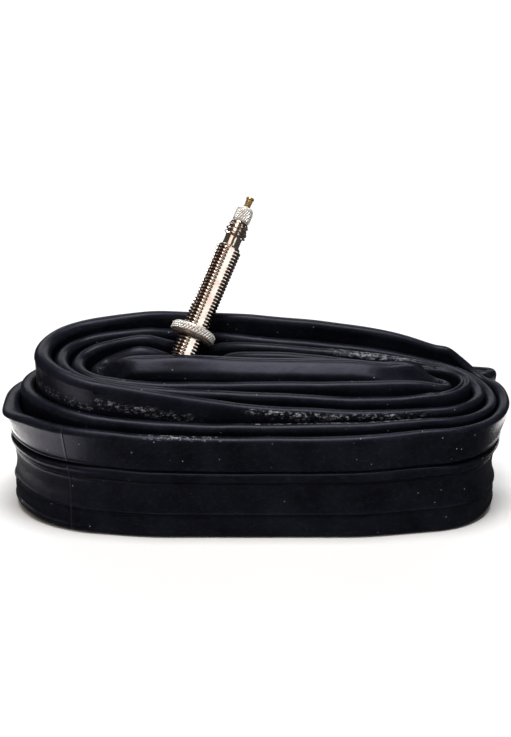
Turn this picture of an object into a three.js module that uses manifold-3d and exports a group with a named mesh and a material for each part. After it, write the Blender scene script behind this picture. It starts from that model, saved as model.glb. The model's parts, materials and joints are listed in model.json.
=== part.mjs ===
// A bicycle inner tube as it is stored: the rubber loop pressed flat, folded into a double strip and
// wound on edge, with its valve standing up from the innermost strand.
// Millimetres, +Z up. X runs along the bundle, Y from its front to its back.
// The origin is the middle of the whole object's footprint, on the surface that it rests on.
import * as THREE from 'three';
import { mergeVertices } from 'three/addons/utils/BufferGeometryUtils.js';
import Module from 'manifold-3d';

const wasm = await Module();
wasm.setup();

// --- Driving dimensions -----------------------------------------------------------------------------

// rubber loop
const FLAT_WIDTH = 25.4;         // width of the loop when pressed flat, which stands upright here
const WALL = 0.9;                // rubber wall
const FLAT_THICKNESS = 2.8;      // two walls and the air left between them
const LEFT_THICKNESS = 3.2;      // the strands open up round the left turns
const RIGHT_THICKNESS = 2.55;    // and press together round the right turns
const VALVE_STRAND_THICKNESS = 4.8;
const EDGE_HEIGHT = 1.1;         // height of the rounded fold along each edge
const EDGE_FLAT = 0.6;           // share of the thickness that the fold's crest takes
const BASE_Z = 0;                // the outer strands stand on this level

// how finely the loop is cut into stations
const STRAIGHT_STEPS = 9;
const TURN_STEP = 15;            // degrees

// valve, measured along its axis from the foot of the stem
const VALVE_FOOT = new THREE.Vector3(-17.1, 1.17, 33.8);
const VALVE_AXIS = new THREE.Vector3(0.381, 0.542, 0.749).normalize();
const VALVE_LENGTH = 42;         // foot of the stem to the tip of the pin
const STEM_LENGTH = 29.4;
const STEM_RADIUS = 3;           // M6 thread
const STEM_BORE = 2.3;           // holds the core
const LOWER_BORE = 1.9;          // below the core's seat
const SEAT_BORE = 1.7;
const SEAT_HEIGHT = 20.5;
const SEAT_DEPTH = 0.6;
const GAP = 0.3;                 // clearance between pieces that touch
const PAST = 1;                  // how far a cutting shape runs past what it cuts
const ROUND_SIDES = 36;
const NUT_SIDES = 48;
const FINE_SIDES = 24;

const rubber = new THREE.MeshStandardMaterial({ color: 0x141418, roughness: 0.5, metalness: 0 });
const padRubber = new THREE.MeshStandardMaterial({ color: 0x18181b, roughness: 0.6, metalness: 0 });
const sealRubber = new THREE.MeshStandardMaterial({ color: 0x2a2a2c, roughness: 0.7, metalness: 0 });
const nickel = new THREE.MeshStandardMaterial({ color: 0xc9c2b8, roughness: 0.25, metalness: 1 });
const brass = new THREE.MeshStandardMaterial({ color: 0xc79a55, roughness: 0.3, metalness: 1 });

// --- The loop's winding, seen from above --------------------------------------------------------------

// Each turn is an arc: centre x and y, radius, and the angles in degrees that it starts and ends at.
// A straight strand joins each turn to the next, and the last to the first. The height is that of the
// loop's upper edge half way round the turn, and heights lists the upper edge along the strand that
// leads to the next turn, as [x, height] pairs.
const WINDING = [
  { name: 'valve strand to F', x: -33.5, y: 0.4, r: 2.5, from: 270, to: 90, height: 33.3,
    heights: [[-26, 36.4], [-21, 34.6], [-13, 31.2], [-6, 34.6], [0, 35.5], [8, 35.5], [31, 32.8]] },
  { name: 'F to S3', x: 41.4, y: -3.3, r: 6.2, from: 90, to: -90, height: 31.8,
    heights: [[31, 29.9], [0, 31.2], [-26, 32.8]] },
  { name: 'S3 to D', x: -34.7, y: -0.05, r: 9.45, from: 270, to: 90, height: 36.2,
    heights: [[-26, 38.8], [-18, 37.2], [-9, 36.8], [-2, 36.9], [31, 33.4]] },
  { name: 'D to B', x: 40.9, y: -3.25, r: 12.65, from: 90, to: -90, height: 27.3,
    heights: [[31, 26.8], [0, 26.3], [-26, 27.1]] },
  { name: 'B to hidden B', x: -36, y: -0.025, r: 15.875, from: 270, to: 90, height: 30,
    heights: [[-26, 28.5], [0, 27.5], [31, 27.5]] },
  { name: 'outer strand to the outer fold', x: 40.6, y: -3.25, r: 19.1, from: 90, to: 53, height: 27.7,
    heights: [] },
  { name: 'outer fold', x: 53.073, y: 13.302, r: 1.625, from: 233, to: 413, height: 27.7, heights: [] },
  { name: 'outer fold to hidden A', x: 40.6, y: -3.25, r: 22.35, from: 53, to: 90, height: 26.8,
    heights: [[31, 26], [0, 25.4], [-26, 25.4]] },
  { name: 'hidden A to A', x: -36.6, y: 0, r: 19.1, from: 90, to: 270, height: 26.4,
    heights: [[-26, 25.2], [0, 24.6], [31, 25.2]] },
  { name: 'A to C', x: 40.7, y: -3.25, r: 15.85, from: -90, to: 90, height: 27,
    heights: [[31, 36.8], [0, 40.6], [-12, 40.6], [-26, 41.4]] },
  { name: 'C to S4', x: -35.6, y: -0.05, r: 12.65, from: 90, to: 270, height: 38.2,
    heights: [[-26, 33.5], [0, 29.6], [31, 28.1]] },
  { name: 'S4 to E', x: 41.2, y: -3.275, r: 9.425, from: -90, to: 90, height: 29,
    heights: [[31, 33.5], [0, 36.6], [-9, 34.9], [-17, 34.4], [-26, 38.3]] },
  { name: 'E to S2', x: -34.1, y: -0.075, r: 6.225, from: 90, to: 270, height: 35,
    heights: [[-26, 32.5], [0, 32.3], [36, 32.3]] },
  { name: 'inner fold', x: 41.2, y: -4.2, r: 2.1, from: -90, to: 90, height: 30.9,
    heights: [[39.5, 31.6], [35, 35.1], [29.5, 34.8], [20, 35.4], [0, 35.8], [-28, 36.1]] },
];

const radians = THREE.MathUtils.degToRad;

function onArc(turn, degrees) {
  const angle = radians(degrees);
  return new THREE.Vector2(turn.x + turn.r * Math.cos(angle), turn.y + turn.r * Math.sin(angle));
}

// Stations along the loop's centre line: place, heading, distance along the loop and the height of its
// upper edge there.
function stationsOfLoop() {
  const stations = [];
  const knots = [];
  let distance = 0;
  WINDING.forEach((turn, index) => {
    const sweep = turn.to - turn.from;
    const steps = Math.max(2, Math.round(Math.abs(sweep) / TURN_STEP));
    const arcLength = radians(Math.abs(sweep)) * turn.r;
    for (let i = 0; i < steps; i += 1) {
      const degrees = turn.from + (sweep * i) / steps;
      const heading = radians(degrees) + (Math.sign(sweep) * Math.PI) / 2;
      stations.push({
        place: onArc(turn, degrees),
        heading: new THREE.Vector2(Math.cos(heading), Math.sin(heading)),
        distance: distance + (arcLength * i) / steps,
      });
    }
    knots.push({ distance: distance + arcLength / 2, height: turn.height });
    distance += arcLength;

    const next = WINDING[(index + 1) % WINDING.length];
    const start = onArc(turn, turn.to);
    const end = onArc(next, next.from);
    const length = start.distanceTo(end);
    const heading = end.clone().sub(start).normalize();
    for (let i = 0; i < STRAIGHT_STEPS && turn.heights.length > 0; i += 1) {
      const share = i / STRAIGHT_STEPS;
      stations.push({
        place: start.clone().lerp(end, share),
        heading: heading.clone(),
        distance: distance + length * share,
      });
    }
    turn.heights.forEach(([x, height]) => {
      knots.push({ distance: distance + Math.abs(x - start.x), height });
    });
    distance += turn.heights.length > 0 ? length : 0;
  });
  const heightAt = smoothLoop(knots, distance);
  stations.forEach((station) => {
    station.top = heightAt(station.distance);
  });
  return stations;
}

// A smooth height along the closed loop, through its knots (cubic, with each knot's slope taken from
// its two neighbours).
function smoothLoop(knots, total) {
  const count = knots.length;
  const knot = (i) => {
    const laps = Math.floor(i / count);
    const { distance, height } = knots[i - laps * count];
    return { distance: distance + laps * total, height };
  };
  const slope = (i) => {
    const before = knot(i - 1);
    const after = knot(i + 1);
    return (after.height - before.height) / (after.distance - before.distance);
  };
  return (distance) => {
    let i = -1;
    while (knot(i + 1).distance <= distance) i += 1;
    const a = knot(i);
    const b = knot(i + 1);
    const span = b.distance - a.distance;
    const t = (distance - a.distance) / span;
    const rise = t * t * (3 - 2 * t);
    const leave = t * (1 - t) * (1 - t) * span * slope(i);
    const arrive = t * t * (1 - t) * span * slope(i + 1);
    return a.height + (b.height - a.height) * rise + leave - arrive;
  };
}

// The strands are thickest where the valve sits, and thinnest round the right turns.
function thicknessAt(place) {
  const { x, y } = place;
  const left = THREE.MathUtils.smoothstep(-x, 30, 38);
  const right = THREE.MathUtils.smoothstep(x, 34, 42);
  let thickness = FLAT_THICKNESS + (LEFT_THICKNESS - FLAT_THICKNESS) * left;
  thickness += (RIGHT_THICKNESS - FLAT_THICKNESS) * right;
  const onValveStrand = y > -3 && y < 0.35;
  if (onValveStrand) {
    const swell = THREE.MathUtils.smoothstep(x, -33, -26) * (1 - THREE.MathUtils.smoothstep(x, 30, 40));
    thickness += (VALVE_STRAND_THICKNESS - thickness) * swell;
  }
  return thickness;
}

// The bundle's long sides bulge, so it narrows towards its ends, and the strands behind the valve are
// pushed back by it.
const END_NARROWING = 0.16;
const NARROWING_FROM = 20;
const NARROWING_TO = 48;
const ROOM_X = -13;              // where the valve pushes hardest, and how far along that reaches
const ROOM_REACH = 9;
const ROOM_START = 0.6;          // the push starts behind the valve's own strand
const ROOM_FULL = 1.4;
const ROOM_NEAR = 2.4;
const ROOM_FAR = 0.8;
const ROOM_FADE_FROM = 8;
const ROOM_FADE_TO = 20.5;

function shapeOfBundle(x, y) {
  const reach = Math.exp(-(((x - ROOM_X) / ROOM_REACH) ** 2));
  const start = THREE.MathUtils.smoothstep(y, ROOM_START, ROOM_FULL);
  const fade = THREE.MathUtils.clamp((y - ROOM_FADE_FROM) / (ROOM_FADE_TO - ROOM_FADE_FROM), 0, 1);
  const push = (ROOM_NEAR + (ROOM_FAR - ROOM_NEAR) * fade) * start * reach;
  const narrowing = THREE.MathUtils.smoothstep(Math.abs(x), NARROWING_FROM, NARROWING_TO);
  return new THREE.Vector2(x, (y + push) * (1 - END_NARROWING * narrowing));
}

// A closed skin round the whole loop: a torus whose every ring is laid at its station. A section's
// points are [side, up] pairs from -1 to 1, anticlockwise when looking along the loop.
function loopSkin(stations, section, halfThickness, lower, upper) {
  const geometry = new THREE.TorusGeometry(2, 1, section.length, stations.length);
  const { position, uv } = geometry.attributes;
  for (let i = 0; i < position.count; i += 1) {
    const station = stations[Math.round(uv.getX(i) * stations.length) % stations.length];
    const [side, up] = section[Math.round(uv.getY(i) * section.length) % section.length];
    const offset = side * halfThickness(station);
    const x = station.place.x + station.heading.y * offset;
    const y = station.place.y - station.heading.x * offset;
    const place = shapeOfBundle(x, y);
    const low = lower(station);
    const high = upper(station);
    const z = up > 0 ? high - (1 - up) * FLAT_WIDTH / 2 : low + (1 + up) * FLAT_WIDTH / 2;
    position.setXYZ(i, place.x, place.y, z);
  }
  return geometry;
}

// --- Joining and cutting -------------------------------------------------------------------------------

function solid(geometry) {
  const bare = geometry.clone();
  bare.deleteAttribute('normal');
  bare.deleteAttribute('uv');
  const merged = mergeVertices(bare, 1e-4);
  return new wasm.Manifold(new wasm.Mesh({
    numProp: 3,
    vertProperties: new Float32Array(merged.attributes.position.array),
    triVerts: new Uint32Array(merged.index.array),
  }));
}

function geometryOf(body) {
  const mesh = body.getMesh();
  const geometry = new THREE.BufferGeometry();
  geometry.setAttribute('position', new THREE.BufferAttribute(mesh.vertProperties, 3));
  geometry.setIndex(new THREE.BufferAttribute(mesh.triVerts, 1));
  geometry.computeVertexNormals();
  return geometry;
}

// A round piece on the valve's own axis: its outline is [radius, distance from the foot] pairs, from
// the axis back to the axis, or closed on itself.
function turned(outline, sides = ROUND_SIDES) {
  const points = outline.map(([radius, along]) => new THREE.Vector2(radius, along));
  return new THREE.LatheGeometry(points, sides);
}

function ring(inner, outer, from, to) {
  return turned([[inner, from], [outer, from], [outer, to], [inner, to], [inner, from]]);
}

function rod(radius, from, to) {
  return turned([[0, from], [radius, from], [radius, to], [0, to]]);
}

const ontoValve = new THREE.Matrix4().compose(
  VALVE_FOOT,
  new THREE.Quaternion().setFromUnitVectors(new THREE.Vector3(0, 1, 0), VALVE_AXIS),
  new THREE.Vector3(1, 1, 1),
);

// --- The pieces ----------------------------------------------------------------------------------------

// moulded rubber pad that holds the stem's foot: a plate, longer along the strand, and a boss
const PLATE = { length: 11, width: 8, from: -1.2, to: -0.1 };
const BOSS = { radius: 4, shoulder: 0.9, top: 1.7, topRadius: 3.7 };

function plate(grow) {
  const height = PLATE.to - PLATE.from + 2 * grow;
  const geometry = new THREE.CylinderGeometry(1, 1, height, ROUND_SIDES);
  geometry.scale(PLATE.length / 2 + grow, 1, PLATE.width / 2 + grow);
  geometry.translate(0, (PLATE.from + PLATE.to) / 2, 0);
  // the plate's long side follows the strand
  const along = new THREE.Vector3(1, 0, 0);
  const turnBack = new THREE.Matrix4().makeRotationFromQuaternion(
    new THREE.Quaternion().setFromUnitVectors(VALVE_AXIS, new THREE.Vector3(0, 1, 0)),
  );
  along.applyMatrix4(turnBack);
  geometry.rotateY(-Math.atan2(along.z, along.x));
  return solid(geometry);
}

function boss(grow) {
  return solid(turned([
    [0, PLATE.from - grow],
    [BOSS.radius + grow, PLATE.from - grow],
    [BOSS.radius + grow, BOSS.shoulder + grow],
    [BOSS.topRadius + grow, BOSS.top + grow],
    [0, BOSS.top + grow],
  ]));
}

function valvePad() {
  const air = solid(rod(SEAT_BORE, PLATE.from - PAST, PAST));
  const socket = solid(rod(STEM_RADIUS + GAP, -GAP, BOSS.top + PAST));
  return geometryOf(plate(0).add(boss(0)).subtract(air).subtract(socket));
}

function innerTube() {
  const stations = stationsOfLoop();
  const lower = (station) => Math.max(BASE_Z, station.top - FLAT_WIDTH);
  const half = (station) => thicknessAt(station.place) / 2;
  const wallUp = 1 - (2 * EDGE_HEIGHT) / FLAT_WIDTH;
  const outerSection = [
    [1, -wallUp], [1, wallUp], [EDGE_FLAT, 1], [-EDGE_FLAT, 1],
    [-1, wallUp], [-1, -wallUp], [-EDGE_FLAT, -1], [EDGE_FLAT, -1],
  ];
  const outer = loopSkin(stations, outerSection, half, lower, (station) => station.top);
  const inner = loopSkin(
    stations,
    [[1, -1], [1, 1], [-1, 1], [-1, -1]],
    (station) => half(station) - WALL,
    (station) => lower(station) + EDGE_HEIGHT + WALL / 2,
    (station) => station.top - EDGE_HEIGHT - WALL / 2,
  );
  const stemRoom = solid(rod(STEM_RADIUS + GAP, -PAST, STEM_LENGTH / 2));
  const room = plate(GAP).add(boss(GAP)).add(stemRoom).transform(ontoValve.elements);
  return geometryOf(largest(solid(outer).subtract(solid(inner)).subtract(room)));
}

function largest(body) {
  return body.decompose().sort((a, b) => b.volume() - a.volume())[0];
}

// threaded stem: its foot has a groove that the rubber grips, and two flats are milled along its thread
const GROOVE = { from: 0.4, to: 0.9, slope: 0.1, depth: 0.3 };
const STEM_CHAMFER = 0.5;
const FLATS = { distance: 2.6, from: 2.2, turn: -8.5 };    // degrees from facing the bundle's front

function valveStem() {
  const grooveRadius = STEM_RADIUS - GROOVE.depth;
  const blank = turned([
    [LOWER_BORE, 0], [STEM_RADIUS, 0],
    [STEM_RADIUS, GROOVE.from], [grooveRadius, GROOVE.from + GROOVE.slope],
    [grooveRadius, GROOVE.to - GROOVE.slope], [STEM_RADIUS, GROOVE.to],
    [STEM_RADIUS, STEM_LENGTH - STEM_CHAMFER], [STEM_RADIUS - STEM_CHAMFER, STEM_LENGTH],
    [STEM_BORE, STEM_LENGTH],
    [STEM_BORE, SEAT_HEIGHT], [SEAT_BORE, SEAT_HEIGHT], [SEAT_BORE, SEAT_HEIGHT - SEAT_DEPTH],
    [LOWER_BORE, SEAT_HEIGHT - SEAT_DEPTH], [LOWER_BORE, 0],
  ]);
  const front = new THREE.Vector3(0, -1, 0).projectOnPlane(VALVE_AXIS);
  front.applyQuaternion(new THREE.Quaternion().setFromUnitVectors(VALVE_AXIS, new THREE.Vector3(0, 1, 0)));
  const facing = Math.atan2(front.z, front.x) + radians(FLATS.turn);
  const length = STEM_LENGTH - FLATS.from + PAST;
  let body = solid(blank);
  [-1, 1].forEach((side) => {
    const cutter = new THREE.BoxGeometry(2 * PAST, length, 4 * STEM_RADIUS);
    cutter.translate(side * (FLATS.distance + PAST), FLATS.from + length / 2, 0);
    cutter.rotateY(-facing);
    body = body.subtract(solid(cutter));
  });
  return geometryOf(body);
}

// round nut that clamps the stem to a rim: a knurled collar with a smaller step under it
const NUT = { radius: 5.25, stepRadius: 4.7, from: 6.2, step: 0.4, height: 2.4, chamfer: 0.3 };

function rimNut() {
  const bore = STEM_RADIUS + GAP;
  const top = NUT.from + NUT.height;
  return turned([
    [bore, NUT.from], [NUT.stepRadius, NUT.from], [NUT.stepRadius, NUT.from + NUT.step],
    [NUT.radius, NUT.from + NUT.step], [NUT.radius, top - NUT.chamfer],
    [NUT.radius - NUT.chamfer, top], [bore, top], [bore, NUT.from],
  ], NUT_SIDES);
}

// valve core: a tail below the seal, a threaded barrel inside the stem, and above it a neck, the
// thread that takes a pump, and two flats for a spanner
const GASKET = { height: 1, radius: 2.05 };
const CORE = {
  tail: 16, tailRadius: 1.3, tailBore: 0.85,
  barrel: SEAT_HEIGHT + GAP + GASKET.height + GAP, barrelRadius: 2,
  neckTop: 32.1, pumpRadius: 2.6, pumpTop: 34.2, top: 35.4, topRadius: 2.35, topBore: 1.15,
  lead: 0.3, boreStep: 32, flats: 3.8, flatsFrom: 34,
};

function coreBody() {
  const blank = turned([
    [CORE.tailBore, CORE.tail], [CORE.tailRadius, CORE.tail], [CORE.tailRadius, CORE.barrel],
    [CORE.barrelRadius, CORE.barrel], [CORE.barrelRadius, CORE.neckTop],
    [CORE.pumpRadius, CORE.neckTop + CORE.lead], [CORE.pumpRadius, CORE.pumpTop],
    [CORE.topRadius, CORE.pumpTop + CORE.lead], [CORE.topRadius, CORE.top], [CORE.topBore, CORE.top],
    [CORE.topBore, CORE.boreStep], [CORE.tailBore, CORE.boreStep], [CORE.tailBore, CORE.tail],
  ]);
  let body = solid(blank);
  const depth = CORE.top - CORE.flatsFrom + PAST;
  [-1, 1].forEach((side) => {
    const cutter = new THREE.BoxGeometry(2 * PAST, depth, 4 * CORE.pumpRadius);
    cutter.translate(side * (CORE.flats / 2 + PAST), CORE.flatsFrom + depth / 2, 0);
    body = body.subtract(solid(cutter));
  });
  return geometryOf(body);
}

// gasket between the core's barrel and the stem's seat
function coreGasket() {
  const from = SEAT_HEIGHT + GAP;
  return ring(CORE.tailRadius + GAP, GASKET.radius, from, from + GASKET.height);
}

// pin through the core: a thin shaft, a threaded upper part and a spread tip that keeps the nut on
const PIN = {
  foot: 13, head: 0.8, headHeight: 0.5, shaft: 0.55, thread: 0.8, threadFrom: 35.3, lead: 0.2,
  tip: 0.95, tipFrom: 41.3,
};

function valvePin() {
  return turned([
    [0, PIN.foot], [PIN.head, PIN.foot], [PIN.head, PIN.foot + PIN.headHeight],
    [PIN.shaft, PIN.foot + PIN.headHeight], [PIN.shaft, PIN.threadFrom],
    [PIN.thread, PIN.threadFrom + PIN.lead], [PIN.thread, PIN.tipFrom],
    [PIN.tip, PIN.tipFrom + PIN.lead], [PIN.tip, VALVE_LENGTH - PIN.lead],
    [PIN.tip - PIN.lead, VALVE_LENGTH], [0, VALVE_LENGTH],
  ], FINE_SIDES);
}

// rubber seal on the pin, just under the core's tail, and the metal cup that backs it
const SEAL = { radius: 1.5, height: 0.8, to: CORE.tail - GAP };
const CUP_RADIUS = 1.35;

function pinSeal() {
  return ring(PIN.shaft + GAP, SEAL.radius, SEAL.to - SEAL.height, SEAL.to);
}

function sealCup() {
  const from = PIN.foot + PIN.headHeight + GAP;
  return ring(PIN.shaft + GAP, CUP_RADIUS, from, SEAL.to - SEAL.height - GAP);
}

// knurled nut on the pin that locks the valve shut
const LOCK = {
  from: CORE.top + GAP, height: 3.7, radius: 2.05, bore: 1.25, chamfer: 0.2,
  crown: [[0, 0.8], [0.25, 0.35], [0.6, 0]],     // how far in and how far below the top
};

function lockNut() {
  const top = LOCK.from + LOCK.height;
  return turned([
    [LOCK.bore, LOCK.from], [LOCK.radius - LOCK.chamfer, LOCK.from],
    [LOCK.radius, LOCK.from + LOCK.chamfer],
    ...LOCK.crown.map(([inward, down]) => [LOCK.radius - inward, top - down]),
    [LOCK.bore, top], [LOCK.bore, LOCK.from],
  ], ROUND_SIDES);
}

// --- Assembly ------------------------------------------------------------------------------------------

function named(name, geometry, material) {
  const mesh = new THREE.Mesh(geometry, material);
  mesh.name = name;
  return mesh;
}

const valve = new THREE.Group();
valve.applyMatrix4(ontoValve);
valve.add(
  named('valve_pad', valvePad(), padRubber),
  named('valve_stem', valveStem(), nickel),
  named('rim_nut', rimNut(), nickel),
  named('core_body', coreBody(), nickel),
  named('core_gasket', coreGasket(), sealRubber),
  named('valve_pin', valvePin(), brass),
  named('pin_seal', pinSeal(), sealRubber),
  named('seal_cup', sealCup(), brass),
  named('lock_nut', lockNut(), nickel),
);

const bundle = new THREE.Group();
bundle.add(named('inner_tube', innerTube(), rubber), valve);

// the origin goes to the middle of the footprint
bundle.updateMatrixWorld(true);
const middle = new THREE.Box3().setFromObject(bundle, true).getCenter(new THREE.Vector3());
bundle.position.set(-middle.x, -middle.y, 0);

export default bundle;
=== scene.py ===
import json
import math

import bmesh
import bpy
import numpy as np
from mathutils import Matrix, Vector

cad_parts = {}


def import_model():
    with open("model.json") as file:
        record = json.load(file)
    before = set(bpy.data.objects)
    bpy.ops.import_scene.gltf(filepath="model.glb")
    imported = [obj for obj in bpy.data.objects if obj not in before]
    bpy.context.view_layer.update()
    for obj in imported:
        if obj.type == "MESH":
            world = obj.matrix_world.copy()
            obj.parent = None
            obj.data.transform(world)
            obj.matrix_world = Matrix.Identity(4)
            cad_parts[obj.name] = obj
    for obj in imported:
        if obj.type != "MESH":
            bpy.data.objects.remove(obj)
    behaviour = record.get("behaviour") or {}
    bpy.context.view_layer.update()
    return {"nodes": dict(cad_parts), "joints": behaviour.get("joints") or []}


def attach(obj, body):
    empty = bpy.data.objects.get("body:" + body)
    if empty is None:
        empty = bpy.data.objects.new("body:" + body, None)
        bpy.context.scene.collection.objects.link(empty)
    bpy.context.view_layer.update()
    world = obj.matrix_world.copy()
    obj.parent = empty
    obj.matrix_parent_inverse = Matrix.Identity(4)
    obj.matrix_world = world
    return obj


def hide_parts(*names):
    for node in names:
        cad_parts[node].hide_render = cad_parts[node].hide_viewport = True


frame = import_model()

MM = 0.001

# --- Driving dimensions -----------------------------------------------------------------------------

FLAT_WIDTH = 25.4                # the tube's width, pressed flat
FLAT_THICKNESS = 2.8             # of the pressed tube along the bundle's long sides
LEFT_THICKNESS = 3.2             # round the left turns, where it opens a little
RIGHT_THICKNESS = 2.55           # round the right turns, where it is pressed together
VALVE_STRAND_THICKNESS = 4.8
C_TURN_SWELL = 0.35              # half of what the raised strand's left turn opens up by

STRAIGHT_STEP = 1.8              # between stations along the straight strands
TURN_STEP = 0.8                  # and round the turns
FINE_STEP = 0.5                  # beside the valve, where the rubber is pushed round the stem

VALVE_FOOT = Vector((-17.1, 1.17, 33.8))    # in the winding's own coordinates
VALVE_LENGTH = 42.0
STEM_LENGTH = 29.4
STEM_RADIUS = 3.0
STEM_BORE = 2.3                  # above the core's seat
LOWER_BORE = 1.9                 # below it
SEAT_BORE = 1.7
SEAT_HEIGHT = 20.5
SEAT_DEPTH = 0.6
RIM_NUT_RADIUS = 5.25
RIM_NUT_SPAN = 6.2, 8.6          # along the axis, from the stem's foot
LOCK_NUT_RADIUS = 2.05
LOCK_NUT_SPAN = 35.7, 39.4

# Each turn of the winding: its name, centre x and y, radius, start and end angle, the height of the
# loop's upper edge half way round, and (x, height) pairs for that edge along the strand to the next turn.
WINDING = [
    ("P to F", -33.5, 0.4, 2.5, 270, 90, 33.3,
     [(-27, 36.4), (-21, 35.2), (-13, 31.2), (-6, 34.6), (0, 35.5), (8, 35.5), (31, 32.8)]),
    ("F to S3", 41.4, -3.3, 6.2, 90, -90, 31.8, [(31, 29.9), (0, 31.2), (-26, 32.8)]),
    ("S3 to D", -34.7, -0.05, 9.45, 270, 90, 36.2,
     [(-26, 38.8), (-18, 37.8), (-10, 37.1), (-2, 36.9), (31, 33.4)]),
    ("D to B", 40.9, -3.25, 12.65, 90, -90, 27.3, [(31, 26.8), (0, 26.3), (-26, 27.1)]),
    ("B to hidden B", -36, -0.025, 15.875, 270, 90, 30, [(-26, 28.5), (0, 27.5), (31, 27.5)]),
    ("to the outer fold", 40.6, -3.25, 19.1, 90, 53, 27.7, []),
    ("outer fold", 53.073, 13.302, 1.625, 233, 413, 27.7, []),
    ("to hidden A", 40.6, -3.25, 22.35, 53, 90, 26.8, [(31, 26), (0, 25.4), (-26, 25.4)]),
    ("hidden A to A", -36.6, 0, 19.1, 90, 270, 26.4, [(-26, 25.2), (0, 24.6), (31, 25.2)]),
    ("A to C", 40.7, -3.25, 15.85, -90, 90, 27, [(31, 36.8), (0, 40.6), (-12, 40.6), (-26, 41.4)]),
    ("C to S4", -35.6, -0.05, 12.65, 90, 270, 38.2, [(-26, 33.5), (0, 29.6), (31, 28.1)]),
    ("S4 to E", 41.2, -3.275, 9.425, -90, 90, 29,
     [(31, 33.5), (0, 36.4), (-7, 36.0), (-13, 34.5), (-19, 36.4), (-26, 38.4)]),
    ("E to S2", -34.1, -0.075, 6.225, 90, 270, 35, [(-26, 32.5), (0, 32.3), (36, 32.3)]),
    ("inner fold", 41.2, -4.2, 2.1, -90, 90, 30.9,
     [(41, 31.2), (39.5, 32), (38.5, 33.6), (37, 34.7), (34, 35.3), (29.5, 34.8), (20, 35.5), (0, 35.9),
      (-29, 36.3)]),
]

# --- The valve's place, from the frame ----------------------------------------------------------------

AXIS = Vector(frame["joints"][0]["axis"]).normalized()


def foot_of(node):
    """Middle of a turned node's lower end on the valve's axis, in millimetres."""
    points = [v.co for v in frame["nodes"][node].data.vertices]
    lowest = min(p.dot(AXIS) for p in points)
    ring = [p for p in points if p.dot(AXIS) < lowest + 1e-5]
    return sum(ring, Vector()) / len(ring) / MM


FOOT = foot_of("valve_stem")
SHIFT = FOOT - VALVE_FOOT        # from the winding's own coordinates to the row frame
ONTO_VALVE = Vector((0, 1, 0)).rotation_difference(AXIS).to_matrix()


def smoothstep(value, low, high):
    """0 below low, 1 above high, and a smooth rise between them."""
    t = np.clip((np.asarray(value, float) - low) / (high - low), 0, 1)
    return t * t * (3 - 2 * t)


def bump(value, centre, width):
    """1 at the centre, falling to about a third one width away from it."""
    return np.exp(-(((np.asarray(value, float) - centre) / width) ** 2))


# --- Laying out the loop ------------------------------------------------------------------------------

# The fine stations' stretch along x, and how far from the bundle's middle their strands may lie.
FINE_MIDDLE, FINE_REACH, FINE_WITHIN_Y = VALVE_FOOT.x + 2, 9, 7


def arc_point(turn, degrees):
    """A place on a turn, in the winding's coordinates."""
    _, x, y, radius = turn[:4]
    angle = math.radians(degrees)
    return x + radius * math.cos(angle), y + radius * math.sin(angle)


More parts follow.
